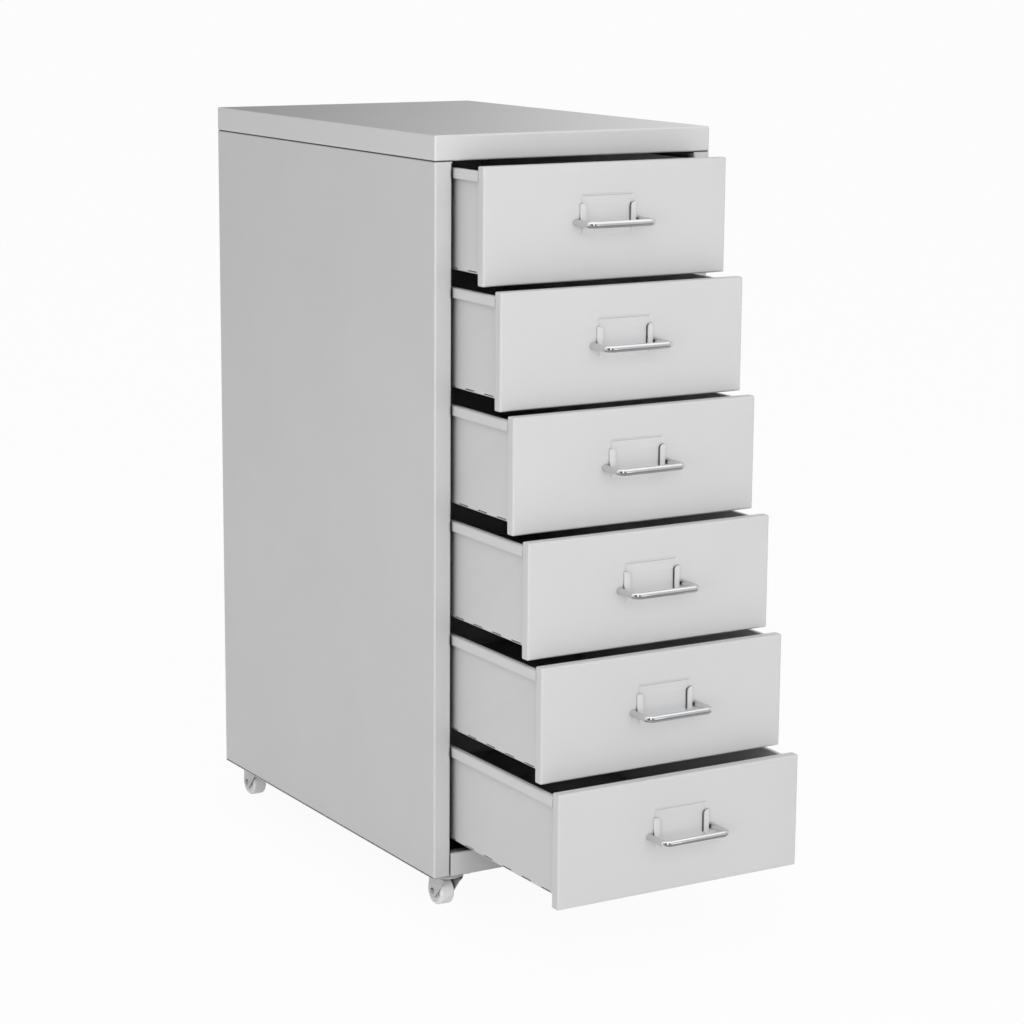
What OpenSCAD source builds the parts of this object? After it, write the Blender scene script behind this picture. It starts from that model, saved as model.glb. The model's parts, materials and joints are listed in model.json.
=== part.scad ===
// Small mobile drawer cabinet in folded sheet steel: six drawers on side runners, a folded
// lid, a base with a front rail, and four swivel casters.
// Millimetres, +Z up, the drawers open towards -Y. The origin lies on the floor, under the
// middle of the outline of the cabinet with its drawers standing open as set below.

/* [Case] */
// Outside width of the case
case_w = 280; // [240:1:420]
// Depth of the case, from the front flanges to the rear flanges
case_d = 430; // [380:1:640]
// Height of the case, from the underside of the base to the top of the lid
case_h = 655; // [520:1:900]
// Thickness of the sheet steel
sheet_t = 0.8; // [0.6:0.1:1.2]
// Outside radius of every fold
fold_r = 1.8; // [1.3:0.1:2.4]
// Width of the flanges round each side panel
flange_w = 16.6; // [14:0.2:24]
// Depth of the hem behind each front flange
hem_d = 9; // [5:0.5:10]
// Height of the lid's rim
lid_h = 22; // [14:1:40]
// Width of the lid's inward lip
lid_lip_w = 14; // [12:0.5:20]
// Height of the rail under the drawers
rail_h = 22; // [14:1:40]
// Depth of the rail's top edge, folded back
rail_fold_d = 9; // [4:1:20]

/* [Drawers] */
// Gap between neighbouring drawer fronts, and above and below them
front_gap = 1.4; // [1:0.1:4]
// Gap at each side of a drawer front
front_side_gap = 0.9; // [0.6:0.1:3]
// Depth of a drawer front's folded edges
front_d = 10.5; // [9.5:0.5:16]
// Width of the lip behind a drawer front's edges
front_lip_w = 9; // [6:0.5:11]
// How far the top of a drawer box lies below the top of its front
box_drop = 4.5; // [3:0.5:12]
// How far the bottom of a drawer box lies above the bottom of its front
box_rise = 8.7; // [4:0.1:14]
// Gap behind a closed drawer box
box_back_gap = 16; // [12:1:60]
// Width of the flange at the front end of a drawer box
box_flange_w = 8; // [5:0.5:9]
// Furthest that a drawer pulls out
travel = 310; // [200:1:320]
// How far drawer 1, the top one, stands open
open_1 = 51.5; // [0:0.5:200]
// How far drawer 2 stands open
open_2 = 80.5; // [0:0.5:200]
// How far drawer 3 stands open
open_3 = 102.5; // [0:0.5:200]
// How far drawer 4 stands open
open_4 = 128; // [0:0.5:200]
// How far drawer 5 stands open
open_5 = 151; // [0:0.5:200]
// How far drawer 6, the bottom one, stands open
open_6 = 179.5; // [0:0.5:200]

/* [Runners] */
// Height of the hook along the top of each drawer wall
hook_h = 8.5; // [7:0.5:14]
// How far the hook stands out from the drawer wall
hook_w = 4; // [3.2:0.2:7]
// Gap between the hook and the side of the front's outline
hook_inset = 0.5; // [0.2:0.1:2]
// Height of the runner's web, where it is welded to the side panel
runner_web_h = 20; // [10:1:40]
// Running clearance over the runner
slide_gap = 0.3; // [0.2:0.1:0.6]
// Gap between the hook's lower edge and the runner's ledge
ledge_gap = 1.2; // [1:0.1:2]
// Gap between the side panel's hem and the front end of a runner
runner_front_gap = 3; // [1:0.5:12]
// Gap between the back panel and the rear end of a runner
runner_rear_gap = 4; // [2:0.5:10]
// Radius of the pressed stops in the ledge
stop_r = 2; // [1.6:0.1:3]
// Length of the pressed stops across the ledge
stop_l = 6; // [4:0.5:8]
// Width of the stop ear at the rear of each hook
stop_ear_w = 6; // [4:0.5:8]

/* [Drawer details] */
// Length of the slots along the folds that are bent by hand
perf_l = 15; // [6:1:24]
// Spacing of those slots
perf_pitch = 32; // [28:1:60]
// Height of those slots
perf_h = 1; // [0.6:0.1:1.6]
// Height of the tab slot near the front of each drawer wall
tab_slot_h = 5; // [3:0.5:8]
// Width of the tab slot
tab_slot_w = 1.2; // [0.8:0.1:2]

/* [Label holder] */
// Width of the recess for the label
label_w = 52.5; // [40:0.5:53]
// Height of the recess for the label
label_h = 33.5; // [20:0.5:36]
// Depth of the recess
label_d = 0.6; // [0.4:0.1:2.4]
// Distance from the top of the drawer front to the top of the recess
label_top = 26.5; // [10:0.5:36]
// Width of the ears that hold the label at its two sides
ear_w = 3.4; // [3:0.2:9]
// Height of the ears
ear_h = 20; // [10:0.5:25]
// Distance from the top of the recess to the top of the ears
ear_drop = 7.5; // [2:0.5:12]
// Width of the ears' feet on the drawer front, beside the recess
ear_foot_w = 2; // [1:0.1:2.4]
// How far the ears stand proud of the drawer front
ear_proud = 2.2; // [1:0.1:3]
// Radius of the ears' inner top corner
ear_r = 3.6; // [1:0.2:4.2]
// Gap cut round each ear, out of the window that it is pressed from
lance_gap = 0.3; // [0.2:0.1:0.8]

/* [Handle] */
// Distance between the handle's legs, centre to centre
handle_c = 64; // [63.5:0.5:96]
// Distance from the drawer front to the outside of the bar
handle_out = 28; // [20:0.5:40]
// Diameter of the handle's wire
handle_wire = 6; // [4:0.2:7]
// Radius of the handle's bends, on the wire's centre line
handle_bend_r = 6; // [4:0.5:12]
// Depth of the threaded holes in the handle's legs
handle_hole_l = 10; // [6:0.5:11]
// Shank diameter of the handle's screws
handle_screw_d = 3; // [2:0.5:3]

/* [Casters] */
// Height of the casters, floor to base
caster_h = 35; // [35:0.5:60]
// Distance from the case's sides to the swivel axes
caster_in_x = 25; // [21:0.5:60]
// Distance from the case's front and back to the swivel axes
caster_in_y = 23; // [20:0.5:60]
// Direction of the wheels' axles, turned from the X axis
caster_turn = 0; // [-90:1:90]
// Distance from the swivel axis to the axle
caster_trail = 8.5; // [4:0.5:10]
// Width of the top plate
plate_w = 37; // [36:1:42]
// Depth of the top plate
plate_d = 36; // [35:0.5:40]
// Thickness of the top plate
plate_t = 1.5; // [1:0.1:2]
// Radius of the top plate's corners
plate_r = 3; // [1:0.5:3.5]
// Spacing of the top plate's screws along its width
plate_hole_x = 29; // [28:0.5:31]
// Spacing of the top plate's screws along its depth
plate_hole_y = 28; // [27:0.5:30]
// Radius of the fork's crown
crown_r = 16; // [14:0.5:17]
// Height of the rim round the crown
crown_rim_h = 3; // [2.6:0.1:3.4]
// Thickness of the fork's steel
fork_t = 1.2; // [1:0.1:1.4]
// Radius of the bends from the crown down into the cheeks
fork_flare_r = 7; // [4:0.5:8]
// Radius of the cheeks' lower ends
cheek_end_r = 6.5; // [4:0.5:8]
// Diameter of the wheel
wheel_d = 26; // [20:0.5:27]
// Width of the wheel
wheel_w = 14; // [10:0.5:16]
// Radius of the wheel's shoulders
wheel_edge_r = 2.4; // [1:0.2:3]
// Diameter of the wheel's axle
axle_d = 3; // [2:0.5:4]
// Diameter of the kingpin that the fork turns on
kingpin_d = 6; // [4:0.5:8]

/* [Screws] */
// Shank diameter of the case's screws
case_screw_d = 4; // [3:0.5:4]
// Length of the case's screws under the head
case_screw_l = 8; // [5:1:12]
// Head diameter of the case's screws
case_head_d = 7.6; // [6:0.2:9]
// Head height of the case's screws
case_head_h = 2.2; // [1.6:0.1:3]
// Shank diameter of the casters' screws
caster_screw_d = 3; // [2.5:0.5:3.5]
// Head diameter of the casters' screws
caster_head_d = 5.2; // [4.6:0.1:6]
// Head height of the casters' screws
caster_head_h = 1.6; // [1.2:0.1:2]

/* [Hidden] */
$fn = 48;
eps = 0.01;                 // overlap of cutting bodies
hole_gap = 0.05;            // radial clearance of screws and shafts
drawer_open = [open_1, open_2, open_3, open_4, open_5, open_6];
drawer_count = len(drawer_open);
levels = [for (k = [1:drawer_count]) k];
hands = ["left", "right"];
corners = ["front_left", "front_right", "rear_left", "rear_right"];

// Case
skin = [sheet_t, sheet_t, sheet_t];         // steps in through the sheet, along all axes
front_y = (max(drawer_open) + handle_out - case_d - case_head_h) / 2;   // plane of the fronts
case_z = caster_h;
lid_z = case_z + case_h - lid_h;            // underside of the lid
shell_z = case_z + sheet_t;                 // the side panels stand on the base sheet
shell_in = case_w / 2 - sheet_t;            // inner face of a side panel
opening_x = case_w / 2 - flange_w;          // half the opening between the flanges
back_y = case_d - sheet_t;                  // rear face of the back panel
fit_gap = 0.3;                              // clearance between neighbouring sheets
flange_mid = case_w / 2 - flange_w / 2;

// Drawer fronts
front_w = 2 * (opening_x - front_side_gap);
front_h = (lid_z - case_z - rail_h - (drawer_count + 1) * front_gap) / drawer_count;
pitch = front_h + front_gap;
function level_z(k) = lid_z - k * pitch;    // lower edge of drawer front k

// Drawer boxes, measured from the lower edge and the face of the front
hook_out = front_w / 2 - hook_inset;        // outer face of the hook
wall_out = hook_out - hook_w;               // outer face of the wall
box_top = front_h - box_drop;
box_end = case_d - sheet_t - sheet_t - box_back_gap;

// Runners, in the same frame as the drawer boxes
ledge_z = box_top - hook_h - ledge_gap;     // top of the ledge
upstand_x = (wall_out + hook_out - sheet_t) / 2 - sheet_t / 2;
upstand_top = box_top - sheet_t - slide_gap;
runner_y0 = hem_d + runner_front_gap;
runner_y1 = case_d - 2 * sheet_t - runner_rear_gap;
stop_x = hook_out + 1.5;                    // inner end of the pressed stops
stop_rear_y = box_end + slide_gap + stop_r;
stop_front_y = box_end - sheet_t - travel - slide_gap - stop_r;

// Handle, at half the height of the front
handle_z = front_h / 2;
handle_bar_y = -(handle_out - handle_wire / 2);

// Label holder
label_top_z = front_h - label_top;
ear_top_z = label_top_z - ear_drop;
label_r = 2;                                // outside radius of the recess's corners

// Casters
axle_z = wheel_d / 2;
crown_z = case_z - plate_t - fit_gap - crown_rim_h;   // underside of the crown
race_r = crown_r - 4.5;                     // swivel race pressed into the plate
cheek_in = wheel_w / 2 + 0.6;               // inner face of a cheek
cheek_out = cheek_in + fork_t;
flare_c = cheek_out + fork_flare_r;         // centre of the flare, across the wheel
king_head_h = 1.4;
king_gap = 0.1;
axle_head_h = 1.4;

// Screws: places as [x, y] of the holes
lid_screw_y = [60, case_d - 60];
base_screw_y = [120, case_d - 120];
back_screw_z = [for (f = [0.12, 0.5, 0.88]) case_z + f * (case_h - lid_h)];

// ---------- helpers ----------

// Rectangle from (x0, y0) to (x1, y1) with rounded corners
module round_rect(x0, y0, x1, y1, r) {
    translate([x0 + r, y0]) square([x1 - x0 - 2 * r, y1 - y0]);
    translate([x0, y0 + r]) square([x1 - x0, y1 - y0 - 2 * r]);
    for (x = [x0 + r, x1 - r], y = [y0 + r, y1 - r]) translate([x, y]) circle(r = r);
}

// Block whose edges are all rounded as folded sheet is
module fold_block(lo, hi, r) {
    intersection() {
        translate([0, 0, lo.z]) linear_extrude(hi.z - lo.z)
            round_rect(lo.x, lo.y, hi.x, hi.y, r);
        translate([0, hi.y, 0]) rotate([90, 0, 0]) linear_extrude(hi.y - lo.y)
            round_rect(lo.x, lo.z, hi.x, hi.z, r);
        translate([lo.x, 0, 0]) rotate([90, 0, 90]) linear_extrude(hi.x - lo.x)
            round_rect(lo.y, lo.z, hi.y, hi.z, r);
    }
}

// Plain block between two corners
module block(lo, hi) {
    translate(lo) cube(hi - lo);
}

// Quarter of a fold, in the corner of the first quadrant that it rounds off
module fold_2d(r) {
    intersection() {
        difference() {
            circle(r = r);
            circle(r = r - sheet_t);
        }
        square(r);
    }
}

// Extrudes an XZ profile along +Y from y0 to y1
module along_y(y0, y1) {
    translate([0, y1, 0]) rotate([90, 0, 0]) linear_extrude(y1 - y0) children();
}

// Extrudes a YZ profile along +X from x0 to x1
module along_x(x0, x1) {
    translate([x0, 0, 0]) rotate([90, 0, 90]) linear_extrude(x1 - x0) children();
}

module in_case() {
    translate([0, front_y, 0]) children();
}

// Frame of drawer k: X from the middle, Y from its face, Z from its front's lower edge
module in_drawer(k) {
    translate([0, front_y - drawer_open[k - 1], level_z(k)]) children();
}

// Left-hand form, mirrored where a right-hand one is asked for
module handed(hand) {
    mirror([hand == "right" ? 1 : 0, 0, 0]) children();
}

function corner_x(c) = (c % 2 == 0 ? -1 : 1) * (case_w / 2 - caster_in_x);
function corner_y(c) = c < 2 ? caster_in_y : case_d - caster_in_y;

// Frame of caster c: origin on the floor under its swivel axis
module at_caster(c) {
    in_case() translate([corner_x(c), corner_y(c), 0]) children();
}

// Frame of caster c's fork: X along the axle, Y from the swivel axis towards it
module in_fork(c) {
    at_caster(c) rotate(caster_turn) children();
}

// Pan-head screw: underside of the head at the origin, shank towards -Z
module pan_screw(d, l, head_d, head_h) {
    translate([0, 0, -l]) cylinder(d = d, h = l + eps);
    difference() {
        rotate_extrude() intersection() {
            square([head_d / 2, head_h]);
            translate([0, head_h - head_d]) circle(r = head_d, $fn = 96);
        }
        for (a = [0, 90]) rotate(a)
            translate([-head_d * 0.3, -head_d * 0.06, head_h * 0.5])
                cube([head_d * 0.6, head_d * 0.12, head_h]);
    }
}

module case_screw() {
    pan_screw(case_screw_d, case_screw_l, case_head_d, case_head_h);
}

// Hole through the two sheets that a case screw joins, and no further
module case_screw_hole() {
    cylinder(d = case_screw_d + 2 * hole_gap, h = 6 * sheet_t, center = true);
}

// Places of the case's screws, each with its head on the sheet that it holds
module at_back_screws(x_sides) {
    for (s = x_sides, z = back_screw_z)
        translate([s * flange_mid, case_d, z]) rotate([-90, 0, 0]) children();
}

module at_lid_screws(x_sides) {
    for (s = x_sides, y = lid_screw_y)
        translate([s * flange_mid, y, lid_z - sheet_t]) rotate([180, 0, 0]) children();
}

module at_base_screws(x_sides) {
    for (s = x_sides, y = base_screw_y)
        translate([s * flange_mid, y, case_z]) rotate([180, 0, 0]) children();
}

// Places of the four screws of a caster's plate
module at_plate_screws() {
    for (x = [-1, 1] * plate_hole_x / 2, y = [-1, 1] * plate_hole_y / 2)
        translate([x, y, case_z - plate_t]) rotate([180, 0, 0]) children();
}

module plate_screw_hole() {
    cylinder(d = caster_screw_d + 2 * hole_gap, h = 20, center = true);
}

// ---------- case ----------

// Side panel: a shallow folded tray with a hemmed front flange
module side_panel(hand) {
    x0 = -case_w / 2;
    x1 = -opening_x;
    hem_z0 = shell_z + fold_r;
    hem_z1 = lid_z - fold_r;
    color("gainsboro") in_case() handed(hand) difference() {
        union() {
            difference() {
                fold_block([x0, 0, shell_z], [x1 + 2 * fold_r, case_d, lid_z], fold_r);
                fold_block([x0 + sheet_t, sheet_t, shell_z + sheet_t],
                           [x1 + 4 * fold_r, case_d - sheet_t, lid_z - sheet_t],
                           fold_r - sheet_t);
                block([x1, -eps, shell_z - eps], [x1 + 5 * fold_r, case_d + eps, lid_z + eps]);
                block([x1 - fold_r, -eps, hem_z0], [x1 + eps, sheet_t + eps, hem_z1]);
            }
            translate([0, 0, hem_z0]) linear_extrude(hem_z1 - hem_z0) {
                translate([x1 - fold_r, fold_r]) mirror([0, 1]) fold_2d(fold_r);
                translate([x1 - sheet_t, fold_r]) square([sheet_t, hem_d - fold_r]);
            }
        }
        at_back_screws([-1]) case_screw_hole();
        at_lid_screws([-1]) case_screw_hole();
        at_base_screws([-1]) case_screw_hole();
        for (c = [0, 2]) translate([corner_x(c), corner_y(c), 0])
            at_plate_screws() plate_screw_hole();
    }
}

// Flat back, held inside the side panels' rear flanges
module back_panel() {
    x1 = case_w / 2 - fold_r - fit_gap;
    color("gainsboro") in_case() difference() {
        block([-x1, back_y - sheet_t, shell_z + fold_r + fit_gap],
              [x1, back_y, lid_z - fold_r - fit_gap]);
        at_back_screws([-1, 1]) case_screw_hole();
    }
}

// Base sheet under the side panels, folded up in front as the rail under the drawers
module base_panel() {
    x1 = case_w / 2 - fit_gap;
    rail_x = opening_x - fit_gap;
    rail_z = case_z + rail_h;
    color("gainsboro") in_case() difference() {
        union() {
            block([-x1, fold_r, case_z], [x1, case_d - fit_gap, case_z + sheet_t]);
            along_x(-rail_x, rail_x) {
                translate([fold_r, case_z + fold_r]) rotate(180) fold_2d(fold_r);
                translate([0, case_z + fold_r]) square([sheet_t, rail_h - 2 * fold_r]);
                translate([fold_r, rail_z - fold_r]) rotate(90) fold_2d(fold_r);
                translate([fold_r, rail_z - sheet_t]) square([rail_fold_d - fold_r, sheet_t]);
            }
        }
        at_base_screws([-1, 1]) case_screw_hole();
        for (c = [0:3]) translate([corner_x(c), corner_y(c), 0])
            at_plate_screws() plate_screw_hole();
    }
}

// Lid: a folded tray, upside down, with a lip that lies on the side panels
module top_lid() {
    x1 = case_w / 2;
    top = lid_z + lid_h;
    color("silver") in_case() difference() {
        fold_block([-x1, 0, lid_z], [x1, case_d, top], fold_r);
        fold_block([-x1, 0, lid_z] + skin, [x1, case_d, top] - skin, fold_r - sheet_t);
        block([-x1 + lid_lip_w, lid_lip_w, lid_z - eps],
              [x1 - lid_lip_w, case_d - lid_lip_w, lid_z + 2 * sheet_t]);
        at_lid_screws([-1, 1]) case_screw_hole();
    }
}

module case_screws() {
    color("silver") in_case() {
        at_back_screws([-1, 1]) case_screw();
        at_lid_screws([-1, 1]) case_screw();
        at_base_screws([-1, 1]) case_screw();
    }
}

// Runner: web on the side panel, ledge towards the drawer, and upstand inside the hook
module runner(hand, k) {
    color("darkgray") in_case() translate([0, 0, level_z(k)]) handed(hand) {
        along_y(runner_y0, runner_y1) {
            translate([-shell_in, ledge_z - runner_web_h]) square([sheet_t, runner_web_h]);
            translate([-shell_in, ledge_z - sheet_t])
                square([shell_in - upstand_x, sheet_t]);
            translate([-upstand_x - sheet_t, ledge_z - sheet_t])
                square([sheet_t, upstand_top - ledge_z + sheet_t]);
        }
        for (y = [stop_front_y, stop_rear_y]) intersection() {
            translate([-stop_x - stop_l, y, ledge_z - sheet_t])
                rotate([0, 90, 0]) cylinder(r = stop_r, h = stop_l);
            block([-shell_in, y - stop_r, ledge_z - sheet_t],
                  [-stop_x + eps, y + stop_r, ledge_z + stop_r]);
        }
    }
}

// ---------- drawers ----------

// Half of the drawer box's section, on the left: floor, wall and hook
module box_section() {
    translate([-wall_out + fold_r, box_rise]) square([wall_out - fold_r + eps, sheet_t]);
    translate([-wall_out + fold_r, box_rise + fold_r]) rotate(180) fold_2d(fold_r);
    translate([-wall_out, box_rise + fold_r])
        square([sheet_t, box_top - box_rise - fold_r]);
    translate([-hook_out + fold_r, box_top - sheet_t])
        square([hook_w - fold_r + sheet_t, sheet_t]);
    translate([-hook_out + fold_r, box_top - fold_r]) rotate(90) fold_2d(fold_r);
    translate([-hook_out, box_top - hook_h]) square([sheet_t, hook_h - fold_r]);
}

// Drawer box: one sheet folded into floor, walls, back, hooks and front flanges
module drawer_box(k) {
    perf_n = floor((box_end - front_d - perf_pitch) / perf_pitch);
    wall_in = wall_out - sheet_t;
    color("gainsboro") in_drawer(k) difference() {
        union() {
            for (h = hands) handed(h) {
                along_y(front_d, box_end) box_section();
                block([-wall_out + eps, front_d, box_rise + fold_r],
                      [-wall_out + box_flange_w, front_d + sheet_t, box_top]);
                block([-hook_out - stop_ear_w, box_end - sheet_t, ledge_z + slide_gap],
                      [-hook_out + sheet_t, box_end, box_top - fold_r]);
            }
            block([-wall_in - eps, box_end - sheet_t, box_rise + eps],
                  [wall_in + eps, box_end, box_top]);
            block([-wall_out + fold_r, front_d, box_rise + eps],
                  [wall_out - fold_r, front_d + sheet_t, box_rise + box_flange_w]);
        }
        for (s = [-1, 1], i = [1:perf_n])
            translate([s * wall_out, front_d + (i - 0.5) * perf_pitch, box_rise + fold_r])
                cube([4 * sheet_t, perf_l, perf_h], center = true);
        for (s = [-1, 1])
            translate([s * wall_out, front_d + sheet_t + tab_slot_w,
                       box_top - hook_h - tab_slot_h / 2])
                cube([4 * sheet_t, tab_slot_w, tab_slot_h], center = true);
    }
}

// Outline of a label ear, grown all round, out to x1: rounded at the top towards the label
module ear_2d(x1, grow = 0) {
    x0 = label_w / 2 - ear_w - grow;
    z0 = ear_top_z - ear_h - grow;
    z1 = ear_top_z + grow;
    r = ear_r + grow;
    difference() {
        translate([x0, z0]) square([x1 - x0, z1 - z0]);
        difference() {
            translate([x0 - eps, z1 - r]) square([r + eps, r + eps]);
            translate([x0 + r, z1 - r]) circle(r = r);
        }
    }
}

// Drawer front: folded tray with the recessed label holder and its two ears, each pressed
// forward out of a window in the recess
module drawer_front(k) {
    x1 = front_w / 2;
    label_z0 = label_top_z - label_h;
    color("gainsboro") in_drawer(k) difference() {
        union() {
            difference() {
                fold_block([-x1, 0, 0], [x1, front_d, front_h], fold_r);
                fold_block([-x1, 0, 0] + skin, [x1, front_d, front_h] - skin,
                           fold_r - sheet_t);
                block([-x1 + front_lip_w, front_d / 2, front_lip_w],
                      [x1 - front_lip_w, front_d + eps, front_h - front_lip_w]);
            }
            along_y(0, label_d + sheet_t)
                round_rect(-label_w / 2 - sheet_t, label_z0 - sheet_t,
                           label_w / 2 + sheet_t, label_top_z + sheet_t, label_r);
            for (h = hands) handed(h) {
                along_y(-ear_proud, sheet_t - ear_proud) ear_2d(label_w / 2 + ear_foot_w);
                block([label_w / 2, -ear_proud, ear_top_z - ear_h],
                      [label_w / 2 + ear_foot_w, sheet_t, ear_top_z]);
            }
        }
        along_y(-eps, label_d)
            round_rect(-label_w / 2, label_z0, label_w / 2, label_top_z,
                       label_r - sheet_t);
        for (h = hands) handed(h)
            along_y(label_d - eps, label_d + sheet_t + eps) ear_2d(label_w / 2, lance_gap);
        for (x = [-1, 1] * handle_c / 2) translate([x, 0, handle_z]) rotate([90, 0, 0])
            cylinder(d = handle_screw_d + 2 * hole_gap, h = 4 * sheet_t, center = true);
    }
}

// Handle: round wire bent to a U, its legs drilled and tapped from behind
module drawer_handle(k) {
    leg_l = -handle_bar_y - handle_bend_r;
    bar_l = handle_c - 2 * handle_bend_r;
    color("silver") in_drawer(k) translate([0, 0, handle_z]) {
        translate([-bar_l / 2, handle_bar_y, 0]) rotate([0, 90, 0])
            cylinder(d = handle_wire, h = bar_l);
        for (h = hands) handed(h) {
            difference() {
                translate([-handle_c / 2, 0, 0]) rotate([90, 0, 0])
                    cylinder(d = handle_wire, h = leg_l);
                translate([-handle_c / 2, eps, 0]) rotate([90, 0, 0])
                    cylinder(d = handle_screw_d + 2 * hole_gap, h = handle_hole_l);
            }
            translate([-bar_l / 2, handle_bar_y + handle_bend_r, 0]) rotate(180)
                rotate_extrude(angle = 90) translate([handle_bend_r, 0])
                    circle(d = handle_wire);
        }
    }
}

// The two screws that hold a handle, put in from inside the front
module handle_screws(k) {
    color("silver") in_drawer(k)
        for (x = [-1, 1] * handle_c / 2) translate([x, sheet_t, handle_z])
            rotate([-90, 0, 0])
                pan_screw(handle_screw_d, handle_hole_l, 2 * handle_screw_d, handle_screw_d * 0.7);
}

// ---------- casters ----------

// Top plate with its pressed swivel race
module caster_plate(c) {
    color("lightgray") at_caster(c) difference() {
        union() {
            translate([0, 0, case_z - plate_t]) linear_extrude(plate_t)
                round_rect(-plate_w / 2, -plate_d / 2, plate_w / 2, plate_d / 2, plate_r);
            translate([0, 0, crown_z + fork_t + fit_gap])
                cylinder(r = race_r, h = case_z - plate_t - crown_z - fork_t - fit_gap + eps);
        }
        cylinder(d = kingpin_d, h = 2 * case_z);
        at_plate_screws() plate_screw_hole();
    }
}

// Kingpins, riveted into the plates; their heads carry the forks
module caster_kingpins() {
    color("silver") for (c = [0:3]) at_caster(c) {
        translate([0, 0, crown_z - king_gap]) cylinder(d = kingpin_d, h = case_z - crown_z + king_gap);
        translate([0, 0, crown_z - king_gap - king_head_h])
            cylinder(d = 1.7 * kingpin_d, h = king_head_h);
    }
}

// Outline of a cheek, seen along the axle: wide under the crown, round at the axle
module cheek_side_2d() {
    top = crown_z + fork_t;
    front = [-crown_r, top];
    axle = [caster_trail, axle_z];
    to_front = front - axle;
    turn = atan2(to_front.y, to_front.x) + acos(cheek_end_r / norm(to_front));
    translate(axle) circle(r = cheek_end_r);
    polygon([front,
             [caster_trail + cheek_end_r, top],
             axle + [cheek_end_r, 0],
             axle,
             axle + cheek_end_r * [cos(turn), sin(turn)]]);
}

// Section across a cheek: flat beside the wheel, flared out to the crown
module cheek_section_2d() {
    z0 = axle_z - cheek_end_r;
    flare_z = crown_z - fork_flare_r;
    translate([cheek_in, z0]) square([fork_t, flare_z - z0]);
    intersection() {
        translate([flare_c, flare_z]) difference() {
            circle(r = fork_flare_r + fork_t);
            circle(r = fork_flare_r);
        }
        translate([cheek_in, flare_z]) square([flare_c - cheek_in, fork_flare_r + fork_t]);
    }
}

// Outline of the crown, seen from above: round, and square over the cheeks
module crown_2d() {
    circle(r = crown_r);
    translate([-flare_c, 0]) square([2 * flare_c, caster_trail + cheek_end_r]);
}

// Fork: crown with a rim, and two flared cheeks that hold the axle
module caster_fork(c) {
    color("lightgray") in_fork(c) difference() {
        union() {
            translate([0, 0, crown_z]) linear_extrude(fork_t) crown_2d();
            translate([0, 0, crown_z]) difference() {
                cylinder(r = crown_r, h = crown_rim_h);
                translate([0, 0, -eps]) cylinder(r = crown_r - fork_t, h = crown_rim_h + 1);
            }
            for (h = hands) handed(h) intersection() {
                along_y(-crown_r, caster_trail + cheek_end_r) cheek_section_2d();
                along_x(0, flare_c) cheek_side_2d();
                linear_extrude(case_z) crown_2d();
            }
        }
        cylinder(d = kingpin_d + 2 * hole_gap, h = 2 * case_z);
        translate([0, caster_trail, axle_z]) rotate([0, 90, 0])
            cylinder(d = axle_d + 2 * hole_gap, h = 2 * flare_c, center = true);
    }
}

// Axle: a rivet with a round head outside each cheek
module caster_axle(c) {
    color("silver") in_fork(c) translate([0, caster_trail, axle_z]) rotate([0, 90, 0]) {
        cylinder(d = axle_d, h = 2 * cheek_out, center = true);
        for (m = [0, 1]) mirror([0, 0, m]) translate([0, 0, cheek_out])
            cylinder(d1 = 2 * axle_d, d2 = 1.3 * axle_d, h = axle_head_h);
    }
}

// Wheel: solid, round-shouldered, with a dished face round the hub
module caster_wheel(c) {
    r = wheel_d / 2;
    w = wheel_w / 2;
    hub_r = axle_d * 1.5;
    dish_r = r - wheel_edge_r - 1;
    dish_d = 1.8;
    hub_w = cheek_in - fit_gap;
    color("whitesmoke") in_fork(c) translate([0, caster_trail, axle_z]) rotate([0, 90, 0])
        rotate_extrude($fn = 96) difference() {
            union() {
                translate([0, -hub_w]) square([hub_r, 2 * hub_w]);
                translate([0, -w]) square([r - wheel_edge_r, 2 * w]);
                translate([0, -w + wheel_edge_r]) square([r, 2 * (w - wheel_edge_r)]);
                for (y = [-1, 1] * (w - wheel_edge_r)) translate([r - wheel_edge_r, y])
                    circle(r = wheel_edge_r);
            }
            translate([-r, -2 * w]) square([r + axle_d / 2 + hole_gap, 4 * w]);
            for (m = [0, 1]) mirror([0, m])
                translate([hub_r, w - dish_d]) square([dish_r - hub_r, 2 * dish_d]);
        }
}

module caster_screws() {
    color("silver") for (c = [0:3]) at_caster(c) at_plate_screws()
        pan_screw(caster_screw_d, plate_t + 4 * sheet_t, caster_head_d, caster_head_h);
}

// ---------- the parts, one at a time or all together ----------

side_panel("left");  // side_panel_left
side_panel("right");  // side_panel_right
back_panel();
base_panel();
top_lid();
for (h = hands, k = levels)
    runner(h, k);
for (k = levels) {
    drawer_box(k);
    drawer_front(k);
    drawer_handle(k);
    handle_screws(k);
}
for (c = [0:3]) {
    caster_plate(c);
    caster_fork(c);
    caster_axle(c);
    caster_wheel(c);
}
caster_kingpins();
caster_screws();
case_screws();
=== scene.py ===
import json
import math

import bmesh
import bpy
from mathutils import Matrix, Vector


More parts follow.
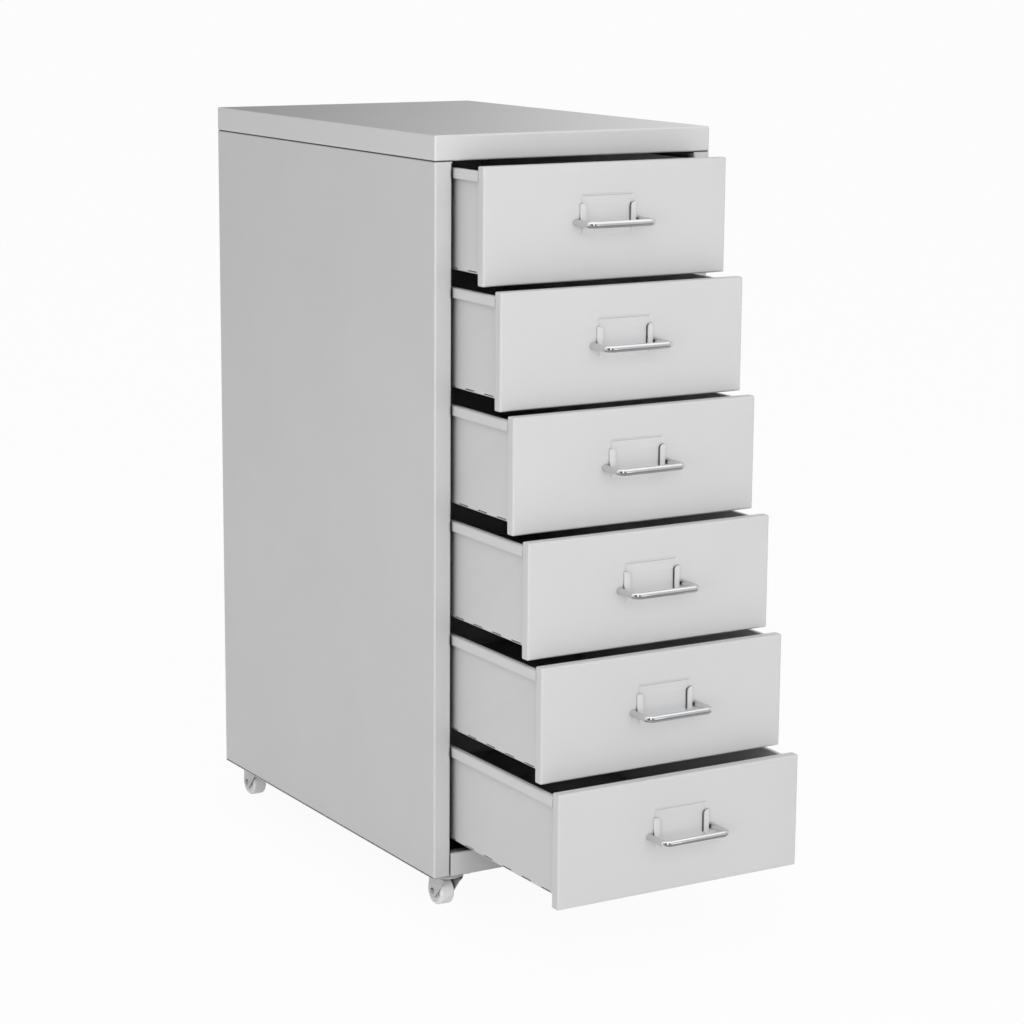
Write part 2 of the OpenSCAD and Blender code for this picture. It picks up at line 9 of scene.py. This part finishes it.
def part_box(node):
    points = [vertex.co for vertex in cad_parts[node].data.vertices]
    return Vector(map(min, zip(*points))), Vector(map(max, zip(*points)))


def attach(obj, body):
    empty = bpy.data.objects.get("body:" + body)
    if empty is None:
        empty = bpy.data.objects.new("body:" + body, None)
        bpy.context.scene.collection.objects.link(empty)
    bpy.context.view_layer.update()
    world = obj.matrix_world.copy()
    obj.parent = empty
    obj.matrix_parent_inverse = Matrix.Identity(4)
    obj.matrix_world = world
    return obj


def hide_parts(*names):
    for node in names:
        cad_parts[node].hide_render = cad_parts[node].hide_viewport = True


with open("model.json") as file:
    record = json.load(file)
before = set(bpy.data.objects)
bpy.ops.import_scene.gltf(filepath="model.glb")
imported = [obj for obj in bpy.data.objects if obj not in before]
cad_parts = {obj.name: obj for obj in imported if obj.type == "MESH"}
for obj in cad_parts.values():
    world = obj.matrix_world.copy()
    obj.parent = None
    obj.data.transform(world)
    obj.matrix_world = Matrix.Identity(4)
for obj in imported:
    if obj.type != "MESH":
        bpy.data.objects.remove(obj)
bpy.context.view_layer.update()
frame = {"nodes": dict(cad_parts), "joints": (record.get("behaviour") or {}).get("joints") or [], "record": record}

MM = 0.001

# ---------- sizes that the finer meshes share with their nodes ----------

SHEET = 0.8 * MM
FOLD_R = 1.8 * MM                # outside radius of a fold
FRONT_LIP = 9 * MM               # lip behind a drawer front's edges
EAR_PROUD = 2.2 * MM             # the label ears, in front of the drawer front
EAR_W = 3.4 * MM
EAR_FOOT_W = 2 * MM
EAR_H = 20 * MM
EAR_DROP = 7.5 * MM              # top of the recess to the top of the ears
EAR_R = 3.6 * MM
LABEL_W = 52.5 * MM
LABEL_H = 33.5 * MM
LABEL_D = 0.6 * MM
LABEL_TOP = 26.5 * MM            # top of the front to the top of the recess
LABEL_R = 1.2 * MM
LANCE_GAP = 0.3 * MM             # cut round each ear
HANDLE_WIRE = 6 * MM
HANDLE_BEND_R = 6 * MM
WHEEL_EDGE_R = 2.4 * MM
RIM_FLAT = 1 * MM                # flat beside the wheel's rounded edge
AXLE_D = 3 * MM
AXLE_PLAY = 0.05 * MM            # between the axle and the wheel's bore
DRAWERS = range(1, 7)
CORNERS = ("front_left", "front_right", "rear_left", "rear_right")


def joint(name):
    return next(j for j in frame["joints"] if j["name"] == name)


# ---------- camera, lights and stage ----------

LID_FRONT = Vector((0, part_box("top_lid")[0].y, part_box("top_lid")[1].z))
CAMERA_FROM_LID = Vector((-1315.0, -2093.3, 166.7)) * MM
CAMERA_TURN = math.radians(30.9)
CAMERA_DOWN = math.radians(11.51)
CAMERA_ROLL = math.radians(0.41)
CAMERA_LENS = 99.93

AMBIENT = 0.55
LAMP_TARGET = Vector((0, 0, 0.5))
LAMPS = (("key", (-0.7, -3.4, 1.2), (3.4, 2.8), 50),       # (name, place, size, watts)
         ("side", (-2.7, -2.2, 0.6), (1.0, 1.0), 14),
         ("fill", (-3.2, -0.6, 1.0), (2.0, 2.0), 3),
         ("top", (0.2, 0.4, 3.2), (2.0, 2.0), 3))
FLOOR_REACH = 60
FLOOR_MATT = 0.95                # brightness of the floor's matt paper, which takes shadows
FLOOR_WHITE = 0.95               # share of plain white over that paper, as the camera sees it

BACK_CARD_Y, BACK_CARD_TOP = 3.0, 3.0
BACK_CARD = ((-2.5, 0.4), (1.15, 0.0), (1.67, 0.32), (2.3, 0.9), (5.0, 1.0))    # (x, brightness)
ROUND_CENTRE_Y = -0.2            # centre that the front card and the flags are bent round
FRONT_CARD_R, FLAG_R = 1.5, 1.45
FRONT_CARD_TURN = 85             # degrees to each side
FRONT_TOP = 1.6
FRONT_CARD = ((0, 0.6), (0.4, 0.72), (FRONT_TOP, 0.8))      # (z, brightness)
FLAGS = ((-62, -42, 0, FRONT_TOP, 0.02),        # (from and to in degrees, low, top, brightness)
         (-40, -22, 0, FRONT_TOP, 1.3),
         (-20, -6, 0, FRONT_TOP, 0.02),
         (12, 28, 0.28, 0.48, 2.4))
FLAT_CARD_X, FLAT_CARD_FRONT = 1.5, -1.7        # half the width, and the front edge
FLAT_CARDS = (("floor_card", -0.34, 0.003, 0.34),       # (name, rear edge, height, brightness)
              ("roof_card", 0.9, 1.65, 1.4))


def make_camera():
    data = bpy.data.cameras.new("camera")
    data.sensor_width = 36
    data.lens = CAMERA_LENS
    data.clip_start = 0.05
    data.clip_end = 100
    camera = bpy.data.objects.new("camera", data)
    bpy.context.scene.collection.objects.link(camera)
    camera.matrix_world = (Matrix.Translation(LID_FRONT + CAMERA_FROM_LID)
                           @ Matrix.Rotation(-CAMERA_TURN, 4, "Z")
                           @ Matrix.Rotation(math.pi / 2 - CAMERA_DOWN, 4, "X")
                           @ Matrix.Rotation(CAMERA_ROLL, 4, "Z"))
    bpy.context.scene.camera = camera


def soft_box(name, place, size, watts):
    data = bpy.data.lights.new(name, "AREA")
    data.shape = "RECTANGLE"
    data.size, data.size_y = size
    data.energy = watts
    lamp = bpy.data.objects.new(name, data)
    bpy.context.scene.collection.objects.link(lamp)
    lamp.location = place
    lamp.rotation_euler = (LAMP_TARGET - Vector(place)).to_track_quat("-Z", "Y").to_euler()


def seen_directly(nodes, links, share):
    """share for camera, glossy and transmission rays, 0 for the light that falls on things"""
    path = nodes.new("ShaderNodeLightPath")
    seen = nodes.new("ShaderNodeMath")
    seen.operation = "MAXIMUM"
    links.new(path.outputs["Is Camera Ray"], seen.inputs[0])
    links.new(path.outputs["Is Glossy Ray"], seen.inputs[1])
    both = nodes.new("ShaderNodeMath")
    both.operation = "MAXIMUM"
    links.new(seen.outputs[0], both.inputs[0])
    links.new(path.outputs["Is Transmission Ray"], both.inputs[1])
    scaled = nodes.new("ShaderNodeMath")
    scaled.operation = "MULTIPLY"
    scaled.inputs[1].default_value = share
    links.new(both.outputs[0], scaled.inputs[0])
    return scaled.outputs[0]


def make_world():
    """White room to look at, that lights things with the ambient strength only"""
    world = bpy.data.worlds.new("studio")
    bpy.context.scene.world = world
    world.use_nodes = True
    nodes, links = world.node_tree.nodes, world.node_tree.links
    nodes.clear()
    out = nodes.new("ShaderNodeOutputWorld")
    mix = nodes.new("ShaderNodeMixShader")
    light = nodes.new("ShaderNodeBackground")
    light.inputs["Color"].default_value = (1, 1, 1, 1)
    light.inputs["Strength"].default_value = AMBIENT
    white = nodes.new("ShaderNodeBackground")
    white.inputs["Color"].default_value = (1, 1, 1, 1)
    white.inputs["Strength"].default_value = 1
    links.new(seen_directly(nodes, links, 1), mix.inputs["Fac"])
    links.new(light.outputs[0], mix.inputs[1])
    links.new(white.outputs[0], mix.inputs[2])
    links.new(mix.outputs[0], out.inputs["Surface"])


def make_floor():
    r = FLOOR_REACH
    mesh = bpy.data.meshes.new("floor")
    mesh.from_pydata([(-r, -r, 0), (r, -r, 0), (r, r, 0), (-r, r, 0)], [], [(0, 1, 2, 3)])
    floor = bpy.data.objects.new("floor", mesh)
    bpy.context.scene.collection.objects.link(floor)
    material = bpy.data.materials.new("floor")
    material.use_nodes = True
    nodes, links = material.node_tree.nodes, material.node_tree.links
    nodes.clear()
    out = nodes.new("ShaderNodeOutputMaterial")
    mix = nodes.new("ShaderNodeMixShader")
    matt = nodes.new("ShaderNodeBsdfDiffuse")
    matt.inputs["Color"].default_value = (FLOOR_MATT, FLOOR_MATT, FLOOR_MATT, 1)
    white = nodes.new("ShaderNodeEmission")
    white.inputs["Color"].default_value = (1, 1, 1, 1)
    white.inputs["Strength"].default_value = 1
    links.new(seen_directly(nodes, links, FLOOR_WHITE), mix.inputs["Fac"])
    links.new(matt.outputs[0], mix.inputs[1])
    links.new(white.outputs[0], mix.inputs[2])
    links.new(mix.outputs[0], out.inputs["Surface"])
    mesh.materials.append(material)


def make_card(name, points, faces, axis, stops):
    """Studio card that only shows in reflections; stops are (place along axis, brightness)"""
    mesh = bpy.data.meshes.new(name)
    mesh.from_pydata(points, [], faces)
    card = bpy.data.objects.new(name, mesh)
    bpy.context.scene.collection.objects.link(card)
    for ray in ("camera", "diffuse", "transmission", "volume_scatter", "shadow"):
        setattr(card, f"visible_{ray}", False)
    material = bpy.data.materials.new(name)
    material.use_nodes = True
    nodes, links = material.node_tree.nodes, material.node_tree.links
    nodes.clear()
    place = nodes.new("ShaderNodeNewGeometry")
    apart = nodes.new("ShaderNodeSeparateXYZ")
    links.new(place.outputs["Position"], apart.inputs["Vector"])
    low, high = stops[0][0], stops[-1][0]
    along = nodes.new("ShaderNodeMapRange")
    along.inputs["From Min"].default_value = low
    along.inputs["From Max"].default_value = high
    links.new(apart.outputs[axis], along.inputs["Value"])
    tone = ramp(nodes, links, along.outputs["Result"],
                [((at - low) / (high - low), (level, level, level)) for at, level in stops])
    glow = nodes.new("ShaderNodeEmission")
    links.new(tone, glow.inputs["Color"])
    out = nodes.new("ShaderNodeOutputMaterial")
    links.new(glow.outputs[0], out.inputs["Surface"])
    mesh.materials.append(material)


def make_back_card():
    """Upright card behind the cabinet, dark to bright, mirrored in the satin lid"""
    x0, x1, y, top = BACK_CARD[0][0], BACK_CARD[-1][0], BACK_CARD_Y, BACK_CARD_TOP
    make_card("back_card", [(x0, y, 0), (x1, y, 0), (x1, y, top), (x0, y, top)], [(0, 1, 2, 3)],
              "X", BACK_CARD)


def make_round_card(name, radius, start, end, low, top, stops, steps=40):
    """Upright card bent round the front, between two directions seen from the cabinet"""
    turns = [math.radians(start + (end - start) * i / steps) for i in range(steps + 1)]
    points = [(radius * math.sin(a), ROUND_CENTRE_Y - radius * math.cos(a), z) for a in turns
              for z in (low, top)]
    make_card(name, points, [(2 * i, 2 * i + 2, 2 * i + 3, 2 * i + 1) for i in range(steps)],
              "Z", stops)


def make_front_cards():
    """Cards mirrored in the chromed handles: one bent round the front, with dark flags and
    bright strips before it, a grey one on the floor and a bright one overhead"""
    make_round_card("front_card", FRONT_CARD_R, -FRONT_CARD_TURN, FRONT_CARD_TURN, 0, FRONT_TOP,
                    FRONT_CARD)
    for i, (start, end, low, top, level) in enumerate(FLAGS):
        make_round_card(f"flag_{i + 1}", FLAG_R, start, end, low, top,
                        ((0, level), (1, level)), steps=8)
    x, y0 = FLAT_CARD_X, FLAT_CARD_FRONT
    for name, y1, z, level in FLAT_CARDS:
        make_card(name, [(-x, y0, z), (x, y0, z), (x, y1, z), (-x, y1, z)], [(0, 1, 2, 3)],
                  "X", ((-x, level), (x, level)))


# ---------- materials ----------

PAINTED_BOX_SHADE = (150 * MM, 0.03, 0.05, 0.25)    # reach, floor, low and high of painted shade inside a box
GAP_SHADE_REACH = 5 * MM
NARROW_GAP_SHADE = (0.2, 0.3, 0.62)   # floor, low and high of painted shade in gaps, here and below
CASE_SEAM_SHADE = (0.03, 0.6, 0.95)    # painted shade in the open fold grooves between the case's panels
CASTER_SEAM_SHADE = (0.2, 0.4, 0.8)
PAINTED_SHADE_SAMPLES = 6


def new_material(name):
    material = bpy.data.materials.new(name)
    material.use_nodes = True
    nodes, links = material.node_tree.nodes, material.node_tree.links
    return material, nodes, links, nodes["Principled BSDF"]


def noise(nodes, links, scale, detail=2.0, stretch=(1, 1, 1)):
    """Noise in the row frame, so that its scale, in blotches to a metre, suits every piece"""
    place = nodes.new("ShaderNodeTexCoord")
    mapping = nodes.new("ShaderNodeMapping")
    mapping.inputs["Scale"].default_value = stretch
    texture = nodes.new("ShaderNodeTexNoise")
    texture.inputs["Scale"].default_value = scale
    texture.inputs["Detail"].default_value = detail
    links.new(place.outputs["Object"], mapping.inputs["Vector"])
    links.new(mapping.outputs["Vector"], texture.inputs["Vector"])
    return texture.outputs["Fac"]


def ramp(nodes, links, value, stops):
    node = nodes.new("ShaderNodeValToRGB")
    node.color_ramp.elements[0].position = stops[0][0]
    node.color_ramp.elements[1].position = stops[-1][0]
    node.color_ramp.elements[0].color = (*stops[0][1], 1)
    node.color_ramp.elements[1].color = (*stops[-1][1], 1)
    for position, colour in stops[1:-1]:
        node.color_ramp.elements.new(position).color = (*colour, 1)
    links.new(value, node.inputs["Fac"])
    return node.outputs["Color"]


def spread(nodes, links, value, low, high):
    """A noise value, stretched from its middle part to the range low to high"""
    node = nodes.new("ShaderNodeMapRange")
    node.inputs["From Min"].default_value = 0.3
    node.inputs["From Max"].default_value = 0.7
    node.inputs["To Min"].default_value = low
    node.inputs["To Max"].default_value = high
    links.new(value, node.inputs["Value"])
    return node.outputs["Result"]


def bump(nodes, links, height, depth, strength, shader):
    node = nodes.new("ShaderNodeBump")
    node.inputs["Distance"].default_value = depth
    node.inputs["Strength"].default_value = strength
    links.new(height, node.inputs["Height"])
    links.new(node.outputs["Normal"], shader.inputs["Normal"])


def grey(level):
    return (level, level, level * 0.998)


def painted_shade(nodes, links, colour, reach, floor, low, high):
    """Painted shade: a colour, down to the share floor of itself where little of the reach is open"""
    occlusion = nodes.new("ShaderNodeAmbientOcclusion")
    occlusion.samples = PAINTED_SHADE_SAMPLES
    occlusion.inputs["Distance"].default_value = reach
    share = ramp(nodes, links, occlusion.outputs["AO"],
                 [(low, (floor, floor, floor)), (high, (1, 1, 1))])
    mix = nodes.new("ShaderNodeMix")
    mix.data_type = "RGBA"
    mix.blend_type = "MULTIPLY"
    mix.inputs["Factor"].default_value = 1
    links.new(colour, mix.inputs["A"])
    links.new(share, mix.inputs["B"])
    return mix.outputs["Result"]


def powder_coat(name, level, roughness, peel=0.5, seam_shade=NARROW_GAP_SHADE):
    """Satin powder coat: fine orange peel, faint clouds, a painted highlight on folds, and
    painted shade in hollows and narrow gaps"""
    material, nodes, links, shader = new_material(name)
    clouds = ramp(nodes, links, noise(nodes, links, 9, 4),
                  [(0.3, grey(level * 0.985)), (0.7, grey(level * 1.015))])
    edge = nodes.new("ShaderNodeNewGeometry")
    # painted highlight: a lighter colour on convex folds, standing in for light glinting on the bends
    painted_fold_highlight = ramp(nodes, links, edge.outputs["Pointiness"],
                [(0.52, (0, 0, 0)), (0.60, (1, 1, 1))])
    mix = nodes.new("ShaderNodeMix")
    mix.data_type = "RGBA"
    links.new(painted_fold_highlight, mix.inputs["Factor"])
    links.new(clouds, mix.inputs["A"])
    mix.inputs["B"].default_value = (*grey(min(level * 1.07, 0.85)), 1)
    # painted shade: the colour darkened in hollows and narrow gaps, where little of the reach is open
    shaded_paint = painted_shade(nodes, links, mix.outputs["Result"], *PAINTED_BOX_SHADE)
    links.new(painted_shade(nodes, links, shaded_paint, GAP_SHADE_REACH, *seam_shade), shader.inputs["Base Color"])
    haze = 0.08 * peel
    links.new(spread(nodes, links, noise(nodes, links, 40, 3), roughness - haze, roughness + haze),
              shader.inputs["Roughness"])
    bump(nodes, links, noise(nodes, links, 900, 2), 0.02 * MM, peel, shader)
    return material


def chrome(name):
    """Bright chrome on bent wire, with faint haze"""
    material, nodes, links, shader = new_material(name)
    shader.inputs["Metallic"].default_value = 1
    tint = ramp(nodes, links, noise(nodes, links, 60, 3),
                [(0.3, (0.62, 0.63, 0.64)), (0.7, (0.68, 0.68, 0.69))])
    links.new(tint, shader.inputs["Base Color"])
    links.new(spread(nodes, links, noise(nodes, links, 400, 2), 0.05, 0.1),
              shader.inputs["Roughness"])
    bump(nodes, links, noise(nodes, links, 250, 2), 0.01 * MM, 0.3, shader)
    return material


def zinc(name, level):
    """Bright zinc plate with a fine crystalline grain"""
    material, nodes, links, shader = new_material(name)
    shader.inputs["Metallic"].default_value = 1
    tint = ramp(nodes, links, noise(nodes, links, 300, 4),
                [(0.3, (level * 0.92, level * 0.93, level * 0.95)), (0.7, grey(level))])
    links.new(tint, shader.inputs["Base Color"])
    links.new(spread(nodes, links, noise(nodes, links, 700, 2), 0.22, 0.38),
              shader.inputs["Roughness"])
    bump(nodes, links, noise(nodes, links, 1500, 2), 0.01 * MM, 0.4, shader)
    return material


def moulded_plastic(name, level):
    """Satin nylon, with dust and scuffs on the tread"""
    material, nodes, links, shader = new_material(name)
    tint = ramp(nodes, links, noise(nodes, links, 160, 4),
                [(0.35, grey(level * 0.95)), (0.65, grey(level))])
    links.new(tint, shader.inputs["Base Color"])
    links.new(spread(nodes, links, noise(nodes, links, 300, 3), 0.36, 0.5),
              shader.inputs["Roughness"])
    bump(nodes, links, noise(nodes, links, 1200, 3), 0.02 * MM, 0.4, shader)
    return material


MATERIALS = {
    "case_paint": powder_coat("case_paint", 0.62, 0.45, seam_shade=CASE_SEAM_SHADE),
    "lid_paint": powder_coat("lid_paint", 0.70, 0.26, peel=0.06, seam_shade=CASE_SEAM_SHADE),
    "drawer_paint": powder_coat("drawer_paint", 0.64, 0.45),
    "front_paint": powder_coat("front_paint", 0.66, 0.42),
    # the runners' dark grey is partly painted shade, darkening the inside of the cabinet
    "runner_steel": powder_coat("runner_steel", 0.30, 0.45),
    "handle_chrome": chrome("handle_chrome"),
    "screw_steel": zinc("screw_steel", 0.62),
    "caster_steel": powder_coat("caster_steel", 0.60, 0.4, seam_shade=CASTER_SEAM_SHADE),
    "axle_steel": zinc("axle_steel", 0.3),
    "wheel_plastic": moulded_plastic("wheel_plastic", 0.95),
}


def dress_nodes():
    """Gives each of the frame's nodes the finish of its material slot"""
    for part in frame["record"]["subparts"]:
        for held in frame["nodes"][part["node"]].material_slots:
            held.material = MATERIALS[part["material_slot"]]


# ---------- meshes ----------

def finish_piece(name, bm, slot, body, *nodes, crease=30):
    """Turns bm into a piece that rides on body in the place of the named nodes"""
    bmesh.ops.recalc_face_normals(bm, faces=bm.faces)
    mesh = bpy.data.meshes.new(name)
    bm.to_mesh(mesh)
    bm.free()
    for face in mesh.polygons:
        face.use_smooth = True
    mesh.set_sharp_from_angle(angle=math.radians(crease))
    mesh.materials.append(MATERIALS[slot])
    piece = bpy.data.objects.new(name, mesh)
    bpy.context.scene.collection.objects.link(piece)
    if nodes:
        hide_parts(*nodes)
    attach(piece, body)
    return piece


def rounded_loop(bm, low, high, radius, y, steps=6):
    """Loop of vertices round a rectangle in the XZ plane, its corners rounded"""
    corners = ((high[0] - radius, high[1] - radius, 0), (low[0] + radius, high[1] - radius, 90),
               (low[0] + radius, low[1] + radius, 180), (high[0] - radius, low[1] + radius, 270))
    loop = []
    for x, z, start in corners:
        for i in range(steps + 1):
            a = math.radians(start + 90 * i / steps)
            loop.append(bm.verts.new((x + radius * math.cos(a), y, z + radius * math.sin(a))))
    return loop


def bridge(bm, first, second):
    """Quads between two loops with as many vertices"""
    for i, v in enumerate(first):
        j = (i + 1) % len(first)
        bm.faces.new((v, first[j], second[j], second[i]))


def plate_between(bm, *loops):
    """Flat face between an outer loop and the loops of its holes"""
    edges = []
    for loop in loops:
        for i, v in enumerate(loop):
            w = loop[(i + 1) % len(loop)]
            edges.append(bm.edges.get((v, w)) or bm.edges.new((v, w)))
    bmesh.ops.triangle_fill(bm, use_beauty=True, edges=edges)


def quarter(steps, radius):
    """(across, along) of a quarter round that turns from one flat to the next"""
    for i in range(steps + 1):
        a = math.pi / 2 * i / steps
        yield radius * (1 - math.sin(a)), radius * (1 - math.cos(a))


def front_mesh(bm, width, height, depth):
    """Folded front as one closed sheet: face with the label recess, edges, and lips behind"""
    margin = 0.4 * MM            # strip beside each bend, so that flats shade flat
    corner = 1 * MM              # radius of the tray's corners
    slope = 2 * MM               # width of the recess's pressed edges
    steps = 8                    # of the pressed edges and of an ear's window

    def ring(inset, y, radius):
        return rounded_loop(bm, (-width / 2 + inset, inset), (width / 2 - inset, height - inset),
                            radius, y)

    def skin(inset, r):
        """Loops of one side of the sheet, from its face back to the edge of its lip"""
        loops = [ring(inset + r + margin, inset, corner / 4)]
        loops += [ring(inset + a, inset + b, corner - a / 3) for a, b in quarter(5, r)]
        loops += [ring(inset, inset + r + margin, corner),
                  ring(inset, depth - inset - r - margin, corner)]
        loops += [ring(inset + a, depth - inset - b, corner - a / 3)
                  for a, b in reversed(list(quarter(5, r)))]
        loops += [ring(inset + r + margin, depth - inset, corner / 4),
                  ring(FRONT_LIP, depth - inset, corner / 4)]
        return loops

    outside, inside = skin(0, FOLD_R), skin(SHEET, FOLD_R - SHEET)
    for loops in (outside, inside):
        for first, second in zip(loops, loops[1:]):
            bridge(bm, first, second)
    bridge(bm, outside[-1], inside[-1])

    z1 = height - LABEL_TOP
    z0 = z1 - LABEL_H

    def recess(grow, y):
        return rounded_loop(bm, (-LABEL_W / 2 - grow, z0 - grow), (LABEL_W / 2 + grow, z1 + grow),
                            LABEL_R + grow, y)

    def window(side, y, grow):
        """Loop round the hole that an ear is pressed out of, in the floor of the recess"""
        gap = LANCE_GAP + grow
        x0, x1 = LABEL_W / 2 - EAR_W - gap, LABEL_W / 2 - slope / 2 - 3 * margin + grow
        top, r = z1 - EAR_DROP + gap, EAR_R + gap
        bottom = top - EAR_H - 2 * gap
        start = math.asin((x0 + r - x1) / r)
        turns = [start + (math.pi / 2 - start) * i / steps for i in range(steps + 1)]
        points = [(x1, bottom)]
        points += [(x0 + r - r * math.sin(a), top - r + r * math.cos(a)) for a in turns]
        points.append((x0, bottom))
        return [bm.verts.new((side * x, y, z)) for x, z in points]

    holes = []
    for y, grow, plate in ((0, 0, outside[0]), (SHEET, SHEET, inside[0])):
        loops = [recess(grow + slope / 2 + margin, y)]
        loops += [recess(grow + slope * (0.5 - i / steps),
                         y + LABEL_D * (1 - math.cos(math.pi * i / steps)) / 2)
                  for i in range(steps + 1)]
        loops.append(recess(grow - slope / 2 - margin, y + LABEL_D))
        for first, second in zip(loops, loops[1:]):
            bridge(bm, first, second)
        rims = [window(side, y + LABEL_D, margin) for side in (-1, 1)]
        holes.append([window(side, y + LABEL_D, 0) for side in (-1, 1)])
        for first, second in zip(rims, holes[-1]):
            bridge(bm, first, second)
        plate_between(bm, loops[-1], *rims)
        plate_between(bm, plate, loops[0])
    for first, second in zip(*holes):
        bridge(bm, first, second)


def ear_mesh(bm, side, top):
    """Lanced ear: stands off the face, and is bent back into it along its outer edge"""
    bend = 1.2 * MM              # outside radius of the bend
    corner_steps, bend_steps = 10, 8
    inner, outer = LABEL_W / 2 - EAR_W, LABEL_W / 2 + EAR_FOOT_W

    def height(x):
        """Top of the ear over x, rounded at its inner corner"""
        run = max(inner + EAR_R - x, 0)
        return top - EAR_R + math.sqrt(EAR_R ** 2 - run ** 2)

    curve = [inner + EAR_R * (1 - math.cos(math.pi / 2 * i / corner_steps))
             for i in range(corner_steps + 1)]
    columns = [((x, -EAR_PROUD), (x, SHEET - EAR_PROUD), height(x)) for x in curve]
    for i in range(bend_steps + 1):
        a = math.pi / 2 * i / bend_steps
        front, back = [(outer - bend + r * math.sin(a), bend - EAR_PROUD - r * math.cos(a))
                       for r in (bend, bend - SHEET)]
        columns.append((front, back, top))
    columns.append(((outer, SHEET / 2), (outer - SHEET, SHEET / 2), top))
    posts = []
    for front, back, z in columns:
        posts.append([bm.verts.new((side * x, y, level)) for (x, y), level in
                      ((front, top - EAR_H), (front, z), (back, z), (back, top - EAR_H))])
    for first, second in zip(posts, posts[1:]):
        bridge(bm, first, second)
    bm.faces.new(posts[0])
    bm.faces.new(posts[-1])


def make_front(k):
    """The folded drawer front, with its two lanced label ears"""
    node = f"drawer_front_{k}"
    low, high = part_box(node)
    face_y = low.y + EAR_PROUD
    bm = bmesh.new()
    front_mesh(bm, high.x - low.x, high.z - low.z, high.y - face_y)
    for side in (-1, 1):
        ear_mesh(bm, side, high.z - low.z - LABEL_TOP - EAR_DROP)
    bmesh.ops.translate(bm, vec=(0, face_y, low.z), verts=bm.verts)
    finish_piece(f"front_{k}", bm, "front_paint", f"drawer_{k}", node)


def tube(bm, path, radius, sides=28):
    """Round bar along a path, square to it at both ends"""
    rings = []
    for i, point in enumerate(path):
        ahead = (path[min(i + 1, len(path) - 1)] - path[max(i - 1, 0)]).normalized()
        across = Vector((0, 0, 1))
        up = ahead.cross(across).normalized()
        rings.append([bm.verts.new(point + radius * (math.cos(a) * across + math.sin(a) * up))
                      for a in (2 * math.pi * s / sides for s in range(sides))])
    for first, second in zip(rings, rings[1:]):
        bridge(bm, first, second)
    bm.faces.new(rings[0])
    bm.faces.new(rings[-1])


def make_handle(k):
    """Chromed wire, bent to a U"""
    node = f"drawer_handle_{k}"
    low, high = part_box(node)
    r = HANDLE_WIRE / 2
    x, y, z = high.x - r, low.y + r, (low.z + high.z) / 2
    bend_steps = 12
    path = []
    for side in (-1, 1):
        leg = [Vector((side * x, high.y, z)),
               Vector((side * x, (high.y + y + HANDLE_BEND_R) / 2, z))]
        for i in range(bend_steps + 1):
            a = math.pi / 2 * i / bend_steps
            leg.append(Vector((side * (x - HANDLE_BEND_R * (1 - math.cos(a))),
                               y + HANDLE_BEND_R * (1 - math.sin(a)), z)))
        path += leg if side < 0 else [Vector((0, y, z))] + leg[::-1]
    bm = bmesh.new()
    tube(bm, path, r)
    finish_piece(f"handle_{k}", bm, "handle_chrome", f"drawer_{k}", node)


def lathe(bm, outline, sides=96):
    """Closed ring from an outline of (radius, along), turned round the X axis"""
    rings = [[bm.verts.new((along, radius * math.cos(a), radius * math.sin(a)))
              for radius, along in outline] for a in
             (2 * math.pi * s / sides for s in range(sides))]
    for s, first in enumerate(rings):
        bridge(bm, first, rings[(s + 1) % sides])


def arc(cx, cy, r, start, end, steps):
    return [(cx + r * math.cos(math.radians(start + (end - start) * i / steps)),
             cy + r * math.sin(math.radians(start + (end - start) * i / steps)))
            for i in range(steps + 1)]


def make_wheel(corner):
    """Moulded wheel: soft shoulders, dished sides and a raised hub"""
    node = f"caster_wheel_{corner}"
    hinge = joint(f"wheel_{corner}_roll")
    axis = Vector(hinge["axis"])
    low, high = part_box(node)
    r = (high.z - low.z) / 2
    hub = 7.3 * MM               # half the length of the hub
    half = 7 * MM                # half the width of the rim
    dish, hub_r, soft = 1.8 * MM, 4.5 * MM, 0.5 * MM
    rim_in = r - WHEEL_EDGE_R - RIM_FLAT
    bore = AXLE_D / 2 + AXLE_PLAY
    side = [(bore, hub)]
    side += arc(hub_r - soft, hub - soft, soft, 90, 0, 4)
    side += arc(hub_r + soft, half - dish + soft, soft, 180, 270, 4)
    side += arc(rim_in - soft, half - dish + soft, soft, -90, 0, 4)
    side += arc(rim_in + soft, half - soft, soft, 180, 90, 4)
    side += arc(r - WHEEL_EDGE_R, half - WHEEL_EDGE_R, WHEEL_EDGE_R, 90, 0, 10)
    outline = side + [(radius, -along) for radius, along in reversed(side)]
    bm = bmesh.new()
    lathe(bm, outline)
    turn = Vector((1, 0, 0)).rotation_difference(axis).to_matrix().to_4x4()
    bm.transform(Matrix.Translation(Vector(hinge["pos_m"])) @ turn)
    finish_piece(f"wheel_{corner}", bm, "wheel_plastic", f"wheel_{corner}", node)


bpy.context.scene.view_settings.view_transform = "Standard"
make_camera()
make_world()
make_floor()
make_back_card()
make_front_cards()
for name, place, size, watts in LAMPS:
    soft_box(name, place, size, watts)
dress_nodes()
for k in DRAWERS:
    make_front(k)
    make_handle(k)
for corner in CORNERS:
    make_wheel(corner)
